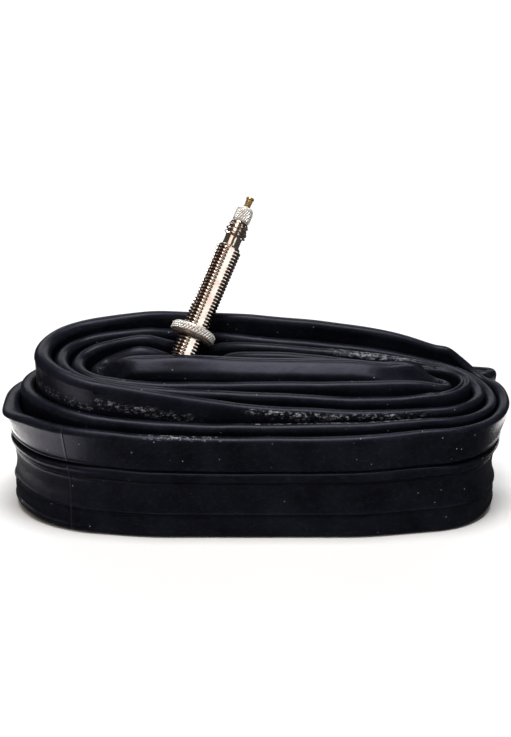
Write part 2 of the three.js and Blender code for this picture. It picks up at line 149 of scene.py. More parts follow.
class Loop:
    """Stations along the loop's centre line, as arrays: place, heading, distance and upper edge."""

    def __init__(self):
        self.places, self.distances, self.legs = [], [], {}
        knots = []
        travelled = 0.0
        for index, turn in enumerate(WINDING):
            name, _, _, radius, start, end, height, heights = turn
            length = math.radians(abs(end - start)) * radius
            steps = max(12, round(length / TURN_STEP))
            for i in range(steps):
                share = i / steps
                self.add(arc_point(turn, start + (end - start) * share), travelled + length * share)
            self.legs[name] = (travelled, travelled + length)
            knots.append((travelled + length / 2, height))
            travelled += length
            if not heights:
                continue
            after = WINDING[(index + 1) % len(WINDING)]
            here = Vector(arc_point(turn, end))
            there = Vector(arc_point(after, after[4]))
            length = (there - here).length
            for share in self.shares(here, there, length):
                self.add(tuple(here.lerp(there, share)), travelled + length * share)
            self.legs[name + " strand"] = (travelled, travelled + length)
            knots.extend((travelled + abs(at - here.x), edge) for at, edge in heights)
            travelled += length
        self.total = travelled
        self.place = np.array(self.places)
        self.distance = np.array(self.distances)
        ahead = np.roll(self.place, -1, 0) - self.place
        behind = self.place - np.roll(self.place, 1, 0)
        ahead /= np.linalg.norm(ahead, axis=1)[:, None]
        behind /= np.linalg.norm(behind, axis=1)[:, None]
        self.heading = ahead + behind
        self.heading /= np.linalg.norm(self.heading, axis=1)[:, None]
        self.top = self.heights_through(knots)

    def add(self, place, distance):
        """One more station."""
        self.places.append(place)
        self.distances.append(distance)

    @staticmethod
    def shares(here, there, length):
        """Where the stations of a straight strand lie, closer together beside the valve."""
        beside_valve = abs(here.y) < FINE_WITHIN_Y
        last_gap = 0.3                       # the least distance from the last one to the strand's end
        share, shares = 0.0, []
        while share < 1 - last_gap / length:
            shares.append(share)
            x = here.x + (there.x - here.x) * share
            near = beside_valve and abs(x - FINE_MIDDLE) < FINE_REACH
            share += (FINE_STEP if near else STRAIGHT_STEP) / length
        return shares

    def heights_through(self, knots):
        """A smooth upper edge round the closed loop, through its knots."""
        at = np.array([k[0] for k in knots])
        height = np.array([k[1] for k in knots])
        at = np.concatenate([at[-2:] - self.total, at, at[:3] + self.total])
        height = np.concatenate([height[-2:], height, height[:3]])
        slope = np.zeros(len(at))
        slope[1:-1] = (height[2:] - height[:-2]) / (at[2:] - at[:-2])
        i = np.clip(np.searchsorted(at, self.distance, side="right") - 1, 1, len(at) - 3)
        span = at[i + 1] - at[i]
        t = (self.distance - at[i]) / span
        rise = t * t * (3 - 2 * t)
        leave = t * (1 - t) ** 2 * span * slope[i]
        arrive = t * t * (1 - t) * span * slope[i + 1]
        return height[i] + (height[i + 1] - height[i]) * rise + leave - arrive

    def on(self, name, soft=4.0):
        """1 on a named leg of the winding, falling to 0 over soft millimetres past its ends."""
        start, end = self.legs[name]
        weight = np.zeros(len(self.distance))
        for lap in (-self.total, 0, self.total):
            d = self.distance + lap
            within = smoothstep(d, start - soft, start) * (1 - smoothstep(d, end, end + soft))
            weight = np.maximum(weight, within)
        return weight

    def direction_from(self, name):
        """Each station's direction from the middle of a named turn, in degrees from -180 to 180."""
        x, y = next(turn[1:3] for turn in WINDING if turn[0] == name)
        return np.degrees(np.arctan2(self.place[:, 1] - y, self.place[:, 0] - x))

    def wave(self, cycles, phase):
        """A ripple that closes on itself after the whole loop."""
        return np.sin(2 * math.pi * cycles * self.distance / self.total + phase)


# Where along x the thickness changes, and the stretch along y that only the valve's strand runs in.
LEFT_TURNS, RIGHT_TURNS = (-38, -30), (34, 42)
SWELL_START, SWELL_END = (-33, -26), (30, 40)
VALVE_STRAND_Y = -3, 0.35


def half_thickness(loop):
    """Half the strand's thickness at each station."""
    x, y = loop.place.T
    thickness = FLAT_THICKNESS + (LEFT_THICKNESS - FLAT_THICKNESS) * (1 - smoothstep(x, *LEFT_TURNS))
    thickness += (RIGHT_THICKNESS - FLAT_THICKNESS) * smoothstep(x, *RIGHT_TURNS)
    on_valve_strand = (y > VALVE_STRAND_Y[0]) & (y < VALVE_STRAND_Y[1])
    swell = smoothstep(x, *SWELL_START) * (1 - smoothstep(x, *SWELL_END)) * on_valve_strand
    thickness = thickness + (VALVE_STRAND_THICKNESS - thickness) * swell
    return thickness / 2 + C_TURN_SWELL * loop.on("C to S4", 12)


# The bundle narrows towards its ends, and the valve pushes the strands behind it back.
END_NARROWING, NARROWING_FROM, NARROWING_TO = 0.16, 20, 48
ROOM_X, ROOM_REACH, ROOM_START, ROOM_FULL = -13, 9, 0.6, 1.4
ROOM_NEAR, ROOM_FAR, ROOM_FADE_FROM, ROOM_FADE_TO = 2.4, 0.8, 8, 20.5

# Its ends lean outwards from a narrower foot, which is straight up to one height and full out at another.
LEFT_LEAN, RIGHT_LEAN = 1.6, 2.9
LEAN_FROM, LEAN_TO = 36, 57
FOOT_TOP, LEAN_TOP = 14, 26


def shape_of_bundle(x, y, height):
    """Where a place in the regular winding comes to lie in the real bundle."""
    reach = bump(x, ROOM_X, ROOM_REACH)
    fade = np.clip((y - ROOM_FADE_FROM) / (ROOM_FADE_TO - ROOM_FADE_FROM), 0, 1)
    push = (ROOM_NEAR + (ROOM_FAR - ROOM_NEAR) * fade) * smoothstep(y, ROOM_START, ROOM_FULL) * reach
    lean = np.where(x < 0, LEFT_LEAN, RIGHT_LEAN) * smoothstep(np.abs(x), LEAN_FROM, LEAN_TO)
    lean = lean * (1 - smoothstep(height, FOOT_TOP, LEAN_TOP))
    narrow = 1 - END_NARROWING * smoothstep(np.abs(x), NARROWING_FROM, NARROWING_TO)
    return x - np.sign(x) * lean, (y + push) * narrow


# Lines moulded into the outer wall: height above the strand's lower edge, half width, and how far out
# they stand along the long sides and round the ends.
WALL_LINES = [
    (17.5, 0.35, 0.12, 0.30),
    (16.75, 0.30, -0.60, -1.30),
    (15.3, 0.95, 0.34, 0.75),
    (13.8, 0.28, -0.45, -0.25),
    (10.0, 2.60, -0.18, -0.45),
    (6.15, 0.22, 0.26, 0.34),
    (5.75, 0.20, -0.26, -0.10),
    (1.6, 1.20, -0.20, -0.35),
]

EDGE_FOLD = 1.9                  # the first and last wall points' distance from the strand's edges
EDGE_MARGIN = 1.8                # no wall point lies nearer to an edge
WALL_STEPS, EDGE_STEPS = 16, 19  # points up a plain wall and round each folded edge
LEAST_STEP = 0.09                # between two points up a wall
LINE_POINTS = -1.8, -1, -0.5, 0, 0.5, 1, 1.8     # across each moulded line, in half widths


def wall_heights(fine):
    """Heights up a wall, as shares of the flat width. A fine one has more at the moulded lines."""
    heights = list(np.linspace(EDGE_FOLD, FLAT_WIDTH - EDGE_FOLD, WALL_STEPS))
    if fine:
        for at, width, _, _ in WALL_LINES:
            heights += [at + width * k for k in LINE_POINTS]
    heights = sorted(h for h in heights if EDGE_MARGIN < h < FLAT_WIDTH - EDGE_MARGIN)
    kept = [heights[0]]
    for height in heights[1:]:
        if height - kept[-1] > LEAST_STEP:
            kept.append(height)
    return np.array(kept) / FLAT_WIDTH


def section_points():
    """The flat section's points in order: (kind, how far across from -1 to 1, how far up from 0 to 1).

    Across +1 is the right-hand wall, seen along the loop's heading.
    """
    edge = np.linspace(0, math.pi, EDGE_STEPS)
    section = [("wall", 1.0, up) for up in wall_heights(True)]
    section += [("top", math.cos(angle), math.sin(angle)) for angle in edge]
    section += [("wall", -1.0, up) for up in wall_heights(False)[::-1]]
    section += [("low", math.cos(angle), math.sin(angle)) for angle in edge[::-1]]
    return section


# The strands' local shapes, in millimetres and degrees.
RAISED_HUMP, RAISED_DROP = 0.7, 1.8          # of the raised strand's edge on the right turn
HUMP_AT, DROP_AT = (76, 8), (45, 17)         # their directions from the turn's middle, and half widths
LIP_ANGLE, LIP_SPREAD = 206, 15              # where the outer strand's edge is pulled out into a lip
LIP_REACH, LIP_TUCK = 2.0, 0.3               # how far its wall leans out at the top, and in below
LIP_HEIGHTS = 17.5, 26                       # between which it changes from one to the other
LIP_SHIFT, LIP_OPENING, LIP_TILT = 0.8, 0.9, 0.5     # how far its folded edge moves out, widens and tips
LEFT_PIT, RIGHT_DIP = 4.4, 2.6               # how deep the valve strand's front sinks at its two ends
BELLY_SLOPE = 2.0                            # how far it falls from its back edge to its front
BELLY_LIP, BELLY_GROOVE = 0.35, 0.40         # the ridge along its back edge and the groove beside it
BELLY_FILL, FILL_REACH = 0.5, 6              # how much higher it is where it holds the valve
FULLER = 0.6                                 # the share of the walls' pinch and top's roundness it loses
STRAND_SLANT = 0.9                           # how far the next strand's top tips over at its left end
TURN_CREASE = 0.9                            # the groove along the top of the innermost right turn
WALL_PINCH = 0.86                            # the thickness between the folded edges, as a share of theirs
UPPER_FOLD, LOWER_FOLD = 3.2, 3.0            # how far down and up the walls the folded edges reach
LOW_FOLD_HEIGHT, LOW_FOLD_WIDTH = 1.5, 0.93  # of the lower folded edge; its width is a share of the upper's
PLAIN_RELIEF, RAISED_RELIEF = 0.15, 0.45     # the moulded lines' depth on inner and raised strands

# Where along x or y they start or end.
ROUND_THE_ENDS, OUTER_FADE_Y = (32, 52), (2, 9)
LIP_FADE, SLANT_FADE = (36, 40.5), (-27, -18)
PIT_FADE, DIP_START, DIP_END = (-33, -28.5), (26, 35), (38, 41)


class Features:
    """How strongly each local shape shows at each station, as weights from 0 to 1 or in millimetres."""

    def __init__(self, loop):
        x, y = loop.place.T
        self.ends = smoothstep(np.abs(x), *ROUND_THE_ENDS)
        outer = np.maximum.reduce([
            loop.on("hidden A to A"), loop.on("hidden A to A strand"), loop.on("to hidden A strand"),
            loop.on("to hidden A"), loop.on("A to C") * (1 - smoothstep(y, *OUTER_FADE_Y)),
        ])
        shown = np.maximum(outer, RAISED_RELIEF * loop.on("A to C strand"))
        self.relief = PLAIN_RELIEF + (1 - PLAIN_RELIEF) * shown
        left_angle = loop.direction_from("hidden A to A") % 360
        self.lip_flare = loop.on("hidden A to A") * bump(left_angle, LIP_ANGLE, LIP_SPREAD)
        right_angle = loop.direction_from("A to C")
        shoulder = RAISED_HUMP * bump(right_angle, *HUMP_AT) - RAISED_DROP * bump(right_angle, *DROP_AT)
        self.raised = loop.on("A to C", 2) * shoulder
        self.valve_strand = loop.on("inner fold strand", 1)
        self.lipped = self.valve_strand * (1 - smoothstep(x, *LIP_FADE))
        self.fill = BELLY_FILL * self.valve_strand * bump(x, VALVE_FOOT.x, FILL_REACH)
        self.pit = LEFT_PIT * (1 - smoothstep(x, *PIT_FADE)) * loop.on("inner fold strand", 2)
        self.dip = RIGHT_DIP * self.valve_strand * smoothstep(x, *DIP_START)
        self.dip = self.dip * (1 - smoothstep(x, *DIP_END))
        self.slant = STRAND_SLANT * loop.on("P to F strand", 2) * (1 - smoothstep(x, *SLANT_FADE))
        self.crease = TURN_CREASE * loop.on("F to S3", 2)
        # faint unevenness in millimetres: ripples that don't keep step with each other
        self.side_wave = 0.04 * loop.wave(53, 2.1) + 0.03 * loop.wave(89, 0.2)
        self.top_wave = 0.05 * loop.wave(41, 0.3) + 0.04 * loop.wave(67, 1.9) + 0.02 * loop.wave(113, 0.7)


def upper_edge(share, top, at):
    """The strand's upper edge at one share across it, once it has sunk or tipped there."""
    sink = at.pit * (1 - smoothstep(share, -0.5, 0.35)) + at.dip * (1 - smoothstep(share, -0.5, 0.9))
    sink = sink + BELLY_SLOPE * smoothstep(-share, -0.7, 1.0) * at.valve_strand
    return top - sink - share * at.slant


def wall_out(across, above, half, at):
    """How far a wall stands out from the centre line at one height above the strand's lower edge."""
    folded = bump(above, FLAT_WIDTH, UPPER_FOLD) + bump(above, 0, LOWER_FOLD)
    pinch = WALL_PINCH + (1 - WALL_PINCH) * folded
    pinch = 1 - (1 - pinch) * (1 - FULLER * at.valve_strand)
    out = across * half * pinch
    if across > 0:
        for line, width, along_side, at_end in WALL_LINES:
            depth = along_side + (at_end - along_side) * at.ends
            out = out + bump(above, line, width) * depth * at.relief
        out = out + at.lip_flare * (LIP_REACH * smoothstep(above, *LIP_HEIGHTS) - LIP_TUCK)
    return out


def fold_height(across, up, upper, half, at):
    """The height of a point round the folded upper edge."""
    height = upper - half + half * up ** (1 - FULLER * at.valve_strand)
    lip = BELLY_LIP * bump(across, 0.9, 0.12) - BELLY_GROOVE * bump(across, 0.62, 0.18)
    height = height + at.lipped * lip + at.fill * bump(across, 0, 0.6)
    height = height - at.crease * bump(across, 0, 0.45)
    return height + at.lip_flare * LIP_TILT * (across - 1)


def loop_skin():
    """The loop's stations, its section, and its outer skin: stations x section points x 3, in the
    winding's coordinates.
    """
    loop = Loop()
    at = Features(loop)
    half = half_thickness(loop)
    x_at, y_at = loop.place.T
    top = loop.top + at.top_wave + at.raised
    low = np.maximum(0, top - FLAT_WIDTH)
    section = section_points()
    skin = np.zeros((len(loop.distance), len(section), 3))
    for j, (kind, across, up) in enumerate(section):
        share = across if kind != "wall" else float(np.sign(across))
        upper = upper_edge(share, top, at)
        if kind == "wall":
            height = low + (upper - low) * up
            out = wall_out(across, up * FLAT_WIDTH, half, at)
        elif kind == "top":
            height = fold_height(across, up, upper, half, at)
            out = across * half + at.lip_flare * (LIP_SHIFT + LIP_OPENING * across)
        else:
            height = low + np.minimum(half, LOW_FOLD_HEIGHT) * (1 - up)
            out = across * half * LOW_FOLD_WIDTH
        out = out + at.side_wave * (0.4 + 0.6 * smoothstep(height, 4, 24))       # more higher up
        x = x_at + loop.heading[:, 1] * out
        y = y_at - loop.heading[:, 0] * out
        skin[:, j, 0], skin[:, j, 1] = shape_of_bundle(x, y, height)
        skin[:, j, 2] = height
    return loop, section, clear_of_stem(skin)


STEM_CLEARANCE = 0.12
STEM_IN_RUBBER = -2.5, 16        # the stretch of the valve's axis that may run through rubber


def clear_of_stem(skin):
    """Pushes the rubber out of the stem's way."""
    axis = np.array(AXIS)
    rel = skin - np.array(VALVE_FOOT)
    along = rel @ axis
    radial = rel - along[..., None] * axis
    distance = np.linalg.norm(radial, axis=-1)
    room = STEM_RADIUS + STEM_CLEARANCE
    inside = (along > STEM_IN_RUBBER[0]) & (along < STEM_IN_RUBBER[1]) & (distance < room)
    scale = np.where(inside, room / np.maximum(distance, 1e-6), 1.0)
    return np.array(VALVE_FOOT) + along[..., None] * axis + radial * scale[..., None]


# --- Making meshes ------------------------------------------------------------------------------------

def mesh_object(name, points, faces, sharp_angle=None):
    """A smooth-shaded mesh from points in millimetres, in the row frame."""
    mesh = bpy.data.meshes.new(name)
    mesh.from_pydata((np.asarray(points, float) * MM).tolist(), [], faces)
    mesh.validate()
    mesh.shade_smooth()
    if sharp_angle is not None:
        mesh.set_sharp_from_angle(angle=math.radians(sharp_angle))
    made = bpy.data.objects.new(name, mesh)
    bpy.context.scene.collection.objects.link(made)
    return made


def ring_faces(rows, columns, close_rows):
    """Quads between neighbouring rows of a grid whose columns close on themselves."""
    faces = []
    for i in range(rows if close_rows else rows - 1):
        a, b = i * columns, ((i + 1) % rows) * columns
        for j in range(columns):
            k = (j + 1) % columns
            faces.append((a + j, a + k, b + k, b + j))
    return faces


def add_float(made, name, values):
    """A value for each vertex, which a material can read by its name."""
    attribute = made.data.attributes.new(name, "FLOAT", "POINT")
    attribute.data.foreach_set("value", np.asarray(values, np.float32).ravel())


def rubber_loop():
    """The whole wound loop as one closed skin."""
    loop, section, skin = loop_skin()
    rows, columns = skin.shape[:2]
    points = skin.reshape(-1, 3) + np.array(SHIFT)
    made = mesh_object("rubber_loop", points, ring_faces(rows, columns, True), sharp_angle=60)
    add_float(made, "talc", talc_on(loop, section, skin[..., 2]))
    return made


# Where talc has stayed in the creases: the leg of the winding, from and to along x, from and to below the
# strand's upper edge, from and to across the strand, and how much.
TALC = [
    ("C to S4", -60, -30, 5.8, 6.4, 0.3, 1.0, 0.7),
    ("C to S4 strand", -44, -14, 4.7, 5.4, 0.3, 1.0, 1.0),
    ("C to S4 strand", -2, 38, 0.7, 1.7, 0.3, 1.0, 1.0),
    ("D to B strand", -2, 38, -0.1, 0.5, 0.0, 1.0, 0.9),
    ("hidden A to A strand", -24, -8, -0.1, 0.4, 0.0, 1.0, 0.9),
    ("S4 to E strand", 18, 36, 0.0, 0.9, -1.0, 0.2, 0.8),
]
TALC_EVERYWHERE = 0.015
TALC_ENDS, TALC_EDGES = 3, 0.3   # how far it fades out along x, and up and down


def talc_on(loop, section, height):
    """How much talc lies at each vertex: it stays in the creases beside the strands' upper edges."""
    x = loop.place[:, 0]
    below = loop.top[:, None] - height
    weight = np.full(below.shape, TALC_EVERYWHERE)
    side = np.array([across for _, across, _ in section])
    for name, start, end, least, most, inner, outer, amount in TALC:
        along = loop.on(name, 1) * smoothstep(x, start - TALC_ENDS, start + TALC_ENDS)
        along = along * (1 - smoothstep(x, end - TALC_ENDS, end + TALC_ENDS))
        down = smoothstep(below, least - TALC_EDGES, least)
        down = down * (1 - smoothstep(below, most, most + TALC_EDGES))
        within = (side >= inner) & (side <= outer)
        weight = np.maximum(weight, amount * along[:, None] * down * within)
    return weight


def turned_grid(rows, sides):
    """Places of a turned surface: rows of (radius, distance along the axis), each a number or a list."""
    theta = 2 * math.pi * np.arange(sides) / sides
    points = []
    for radius, along in rows:
        radius = np.broadcast_to(radius, theta.shape)
        along = np.broadcast_to(along, theta.shape)
        points.append(np.stack([radius * np.cos(theta), along, radius * np.sin(theta)], -1))
    return np.array(points)


def onto_valve(points):
    """Places in the valve's own coordinates, whose second one runs along its axis, to the row frame."""
    return np.asarray(points).reshape(-1, 3) @ np.array(ONTO_VALVE).T + np.array(FOOT)


def turned(name, rows, sides=64, shape=None, sharp_angle=35):
    """A closed turned piece on the valve's axis. shape may change its points before they are placed."""
    points = turned_grid(rows, sides)
    if shape is not None:
        points = shape(points)
    faces = ring_faces(len(rows), sides, True)
    made = mesh_object(name, onto_valve(points), [f[::-1] for f in faces], sharp_angle)
    weld(made)
    return made


def weld(made):
    """Joins vertices that lie on each other and turns all faces outwards."""
    body = bmesh.new()
    body.from_mesh(made.data)
    bmesh.ops.remove_doubles(body, verts=body.verts, dist=2e-6)
    bmesh.ops.dissolve_degenerate(body, edges=body.edges, dist=1e-6)
    bmesh.ops.recalc_face_normals(body, faces=body.faces)
    body.to_mesh(made.data)
    body.free()


THREAD_SHARP_ANGLE = 28

# One turn of a thread, as (share of the pitch, share of the depth).
THREAD_PROFILE = [(0.0, 0.0), (0.10, 0.0), (0.42, 1.0), (0.58, 1.0), (0.90, 0.0)]


def helical_thread(radius, depth, pitch, start, end, sides):
    """Rows that follow the thread, so that its edges are crisp."""
    turns = math.ceil((end - start) / pitch) + 1
    theta = 2 * math.pi * np.arange(sides) / sides
    rows = []
    for turn in range(-1, turns):
        for share, cut in THREAD_PROFILE:
            along = start + pitch * (turn + share) + pitch * theta / (2 * math.pi)
            inside = (along > start) & (along < end)
            reach = np.where(inside, radius - depth * cut, radius - depth)
            rows.append((reach, np.clip(along, start, end)))
    return rows


def screw(name, before, thread, after, sides=96, shape=None, cut_shade=1.0):
    """A closed turned piece whose outer wall is a screw thread between plain rows.

    thread is (radius, depth, pitch, start, end). The groove attribute says how deep it is cut, times the
    strength of the shade painted into the cuts.
    """
    rows = helical_thread(*thread, sides)
    shift = len(THREAD_PROFILE)              # rows that the thread climbs in one turn
    radius, depth = thread[:2]
    grid = turned_grid(rows, sides)
    crest = turned_grid([(radius, along) for _, along in rows], sides)
    plain = turned_grid(before + after, sides)
    if shape is not None:
        grid, crest, plain = shape(grid), shape(crest), shape(plain)
    cut = np.linalg.norm(crest - grid, axis=-1) / depth
    # painted shade: the groove attribute darkens the thread's grooves, scaled by this strength
    groove = np.concatenate([cut_shade * cut.ravel(), np.zeros(plain.size // 3)])
    points = list(onto_valve(grid)) + list(onto_valve(plain))
    count, offset = len(rows), len(rows) * sides
    faces = []
    for i in range(count - 1):
        for j in range(sides - 1):
            a, b = i * sides + j, (i + 1) * sides + j
            faces.append((a, a + 1, b + 1, b))
        if i + 1 + shift < count:
            a, b = i * sides + sides - 1, (i + 1) * sides + sides - 1
            faces.append((a, (i + shift) * sides, (i + 1 + shift) * sides, b))
    order = list(range(len(before), len(before) + len(after))) + list(range(len(before)))
    chain = [offset + k * sides for k in order]
    chain = [(count - 1) * sides] + chain + [0]
    for a, b in zip(chain, chain[1:]):
        for j in range(sides):
            k = (j + 1) % sides
            faces.append((a + j, a + k, b + k, b + j))
    made = mesh_object(name, points, faces)
    add_float(made, "groove", groove)
    weld(made)
    made.data.shade_smooth()
    made.data.set_sharp_from_angle(angle=math.radians(THREAD_SHARP_ANGLE))
    return made


# --- The valve ----------------------------------------------------------------------------------------

FLAT_DISTANCE = 2.42             # two flats milled along the stem, this far from its axis
FLAT_TURN = -5.5                 # degrees from the side that faces the bundle's front


def valve_direction(degrees):
    """A direction square to the valve, in its own coordinates: 0 faces the bundle's front."""
    front = Vector((0, -1, 0)) - AXIS * AXIS.dot(Vector((0, -1, 0)))
    front = ONTO_VALVE.transposed() @ front.normalized()
    angle = math.atan2(front.z, front.x) + math.radians(degrees)
    return np.array([math.cos(angle), 0, math.sin(angle)])


def flatten(points, direction, distance, start=-math.inf):
    """Mills two flats, on both sides of the axis, from start upwards."""
    across = points @ direction
    over = np.maximum(np.abs(across) - distance, 0) * np.sign(across) * (points[..., 1] > start)
    return points - over[..., None] * direction


def stem():
    """The stem: a plain foot, the thread with its two flats, and the stepped bore with the core's seat."""
    direction = valve_direction(FLAT_TURN)
    top, chamfer = STEM_LENGTH, 0.55
    depth, pitch, start = 0.50, 0.8, 1.2
    thread = (STEM_RADIUS, depth, pitch, start, top - chamfer)
    root, neck = STEM_RADIUS - depth, STEM_RADIUS - 0.3
    before = [(LOWER_BORE, 0), (STEM_RADIUS - 0.1, 0), (STEM_RADIUS, 0.1), (STEM_RADIUS, 0.4),
              (neck, 0.5), (neck, 0.8), (neck, 1.0), (root, start)]
    after = [(root, top - chamfer), (root - 0.02, top - 0.12), (root - 0.12, top), (STEM_BORE + 0.05, top),
             (STEM_BORE, top - 0.05), (STEM_BORE, SEAT_HEIGHT), (SEAT_BORE, SEAT_HEIGHT),
             (SEAT_BORE, SEAT_HEIGHT - SEAT_DEPTH), (LOWER_BORE, SEAT_HEIGHT - SEAT_DEPTH)]
    return screw("stem_threaded", before, thread, after,
                 shape=lambda p: flatten(p, direction, FLAT_DISTANCE))


def knurled(radius, depth, pitch, slant, start, end, sides, steps):
    """Rows of a diamond-knurled band: two sets of slanting cuts that cross, one deeper than the other."""
    teeth = round(2 * math.pi * radius / pitch)
    theta = 2 * math.pi * np.arange(sides) / sides
    rows = []
    for i in range(steps + 1):
        share = i / steps
        along = start + (end - start) * share
        turn = teeth * theta / (2 * math.pi)
        lean = slant * (along - start) / pitch
        one = np.abs(((turn + lean) % 1) * 2 - 1)
        other = np.abs(((turn - lean) % 1) * 2 - 1)
        cut = np.maximum(smoothstep(1 - one, 0.45, 0.85), 0.6 * smoothstep(1 - other, 0.55, 0.95))
        fade = smoothstep(share, 0, 0.12) * (1 - smoothstep(share, 0.88, 1))
        rows.append((radius - depth * (cut * fade + (1 - fade)), along))
    return rows


def round_the_valve(made):
    """Each vertex's distance along the valve from the stem's foot, and its distance from the axis."""
    rel = np.array([v.co for v in made.data.vertices]) / MM - np.array(FOOT)
    along = rel @ np.array(AXIS)
    return along, np.linalg.norm(rel - along[:, None] * np.array(AXIS), axis=1)


def knurl_shade(along, radius, start, end, crest, depth):
    """How deep each vertex lies in a knurled band's cuts, from 0 to 1, for the shade painted into them."""
    return ((along > start) & (along < end)) * np.clip((crest - radius) / depth, 0, 1)


def rim_nut():
    """The round nut: a plain ring, a step, and a wide knurled band."""
    low, high = RIM_NUT_SPAN
    bore, depth, sides = STEM_RADIUS - 0.02, 0.26, 424
    step, start = low + 0.42, low + 0.5
    rows = [(bore, low), (4.55, low), (4.7, low + 0.12), (4.7, low + 0.4), (4.95, step)]
    rows += knurled(RIM_NUT_RADIUS, depth, 0.80, 0.70, start, high - 0.3, sides, 26)
    rows += [(4.95, high - 0.1), (4.8, high), (3.5, high), (3.25, high - 0.2), (bore, high - 0.4)]
    made = turned("rim_nut_knurled", rows, sides)
    along, radius = round_the_valve(made)
    in_cuts = knurl_shade(along, radius, start, high - 0.35, RIM_NUT_RADIUS, depth)
    # painted shade: the nut's underside and the bottoms of its knurl cuts are painted dark
    under = 1 - smoothstep(along, step, start)
    add_float(made, "groove", np.maximum(under, 0.8 * in_cuts))
    return made


def core():
    """The core: its tail in the stem's bore, a plain neck, and the pump's thread with its two flats."""
    tail = [(0.85, 16), (1.3, 16), (1.3, 22.1), (2.0, 22.1)]
    neck = [(2.0, 30.2), (1.98, 31.3), (2.02, 31.9), (2.1, 32.1)]
    thread = (2.58, 0.46, 1.0, 32.1, 35.15)
    after = [(2.12, 35.15), (2.05, 35.4), (1.2, 35.4), (1.15, 35.35), (1.15, 32), (0.85, 32)]
    sideways, flat_distance, flats_from = np.array([1.0, 0, 0]), 1.9, 33.9
    # painted shade in the core's thread grooves, at 0.45 of full strength
    return screw("core_threaded", tail + neck, thread, after, 72,
                 lambda points: flatten(points, sideways, flat_distance, flats_from), cut_shade=0.45)


def lock_nut():
    """The small knurled nut with its rounded top."""
    low, high = LOCK_NUT_SPAN
    depth, sides, start = 0.17, 224, low + 0.14
    rows = [(1.05, low), (1.8, low), (1.92, low + 0.1)]
    rows += knurled(LOCK_NUT_RADIUS, depth, 0.62, 0.50, start, high - 0.85, sides, 24)
    rows += [(1.95, high - 0.7), (1.84, high - 0.45), (1.66, high - 0.2), (1.45, high - 0.04), (1.3, high),
             (1.15, high), (1.05, high - 0.1)]
    made = turned("lock_nut_knurled", rows, sides)
    along, radius = round_the_valve(made)
    # painted shade: the bottoms of the knurl cuts are painted dark
    add_float(made, "groove", 0.7 * knurl_shade(along, radius, start, high - 0.9, LOCK_NUT_RADIUS, depth))
    return made


def pin():
    """The pin: a head under the core's tail, a plain rod, the nut's thread, and the spread tip."""
    tip = VALVE_LENGTH
    lower = [(0, 13), (0.75, 13), (0.8, 13.05), (0.8, 13.45), (0.75, 13.5), (0.55, 13.5), (0.55, 35.3)]
    thread = (0.8, 0.12, 0.35, 35.4, tip - 1.5)
    after = [(0.68, tip - 1.5), (0.76, tip - 1.4), (0.8, tip - 1.3), (0.8, tip - 0.8), (0.86, tip - 0.6),
             (0.95, tip - 0.45), (0.95, tip - 0.2), (0.9, tip - 0.08), (0.75, tip), (0, tip)]
    return screw("pin_threaded", lower, thread, after, 40)


def pad():
    """The rubber pad round the stem's foot, whose flange is stretched along the strand."""
    bore, flange, collar = 1.72, 3.7, 3.05
    rows = [(bore, -1.2), (3.6, -1.2), (flange, -1.1), (flange, -0.6), (3.55, 0.0), (3.4, 0.3), (3.2, 0.4),
            (3.1, 0.35), (collar, 0.2), (collar, -0.2), (bore, -0.2)]
    flange_top, flange_inside, lengthening = -0.7, 3.5, 0.45
    direction = ONTO_VALVE.transposed() @ Vector((1, 0, 0))
    along = np.array([direction.x, 0, direction.z])
    along /= np.linalg.norm(along)

    def stretch(points):
        outside = np.hypot(points[..., 0], points[..., 2]) > flange_inside
        in_flange = (points[..., 1] < flange_top) & outside
        reach = np.where(in_flange, lengthening * (points @ along), 0)
        return points + reach[..., None] * along

    return turned("pad_moulded", rows, 64, stretch, 50)


# --- Materials ----------------------------------------------------------------------------------------

# Colours, each as linear red, green and blue.
DARK_RUBBER, PALE_RUBBER = (0.0032, 0.0038, 0.0068), (0.0075, 0.0090, 0.0150)
GRAIN, HAZE, SPLICE = (0.016, 0.018, 0.026), (0.08, 0.08, 0.11), (0.05, 0.05, 0.06)
TALC_GREY = 0.50, 0.51, 0.56
# painted shade: the dark brown that the metal gets in its cuts and grooves and under the rim nut
RECESS_SHADE_BROWN = 0.150, 0.075, 0.045

# The joint across the outer strand's front, in millimetres in the row frame: two heights and where it is
# at each, and the place that it lies in front of.
SPLICE_HEIGHTS, SPLICE_X, SPLICE_Y = (13, 25), (-41.9, -43.6), -17.3
SPLICE_HALF_WIDTH = 0.28


def nodes_of(name):
    """A new material with its node tree and its shader."""
    material = bpy.data.materials.new(name)
    material.use_nodes = True
    tree = material.node_tree
    shader = tree.nodes["Principled BSDF"]
    return material, tree, shader


def add(tree, kind, **values):
    """A new node. Each value sets the input of that name, or else the property."""
    node = tree.nodes.new(kind)
    for key, value in values.items():
        if key in node.inputs:
            node.inputs[key].default_value = value
        else:
            setattr(node, key, value)
    return node


def millimetres(tree, scale=(1, 1, 1)):
    """Object coordinates in millimetres, stretched by scale."""
    place = add(tree, "ShaderNodeTexCoord")
    mapping = add(tree, "ShaderNodeMapping")
    mapping.inputs["Scale"].default_value = [s / MM for s in scale]
    tree.links.new(place.outputs["Object"], mapping.inputs["Vector"])
    return mapping.outputs["Vector"]


def noise(tree, vector, scale, detail=3, rough=0.5):
    """Noise round 0.5, whose scale is in spots for each millimetre."""
    node = add(tree, "ShaderNodeTexNoise", Scale=scale, Detail=detail, Roughness=rough)
    tree.links.new(vector, node.inputs["Vector"])
    return node.outputs["Fac"]


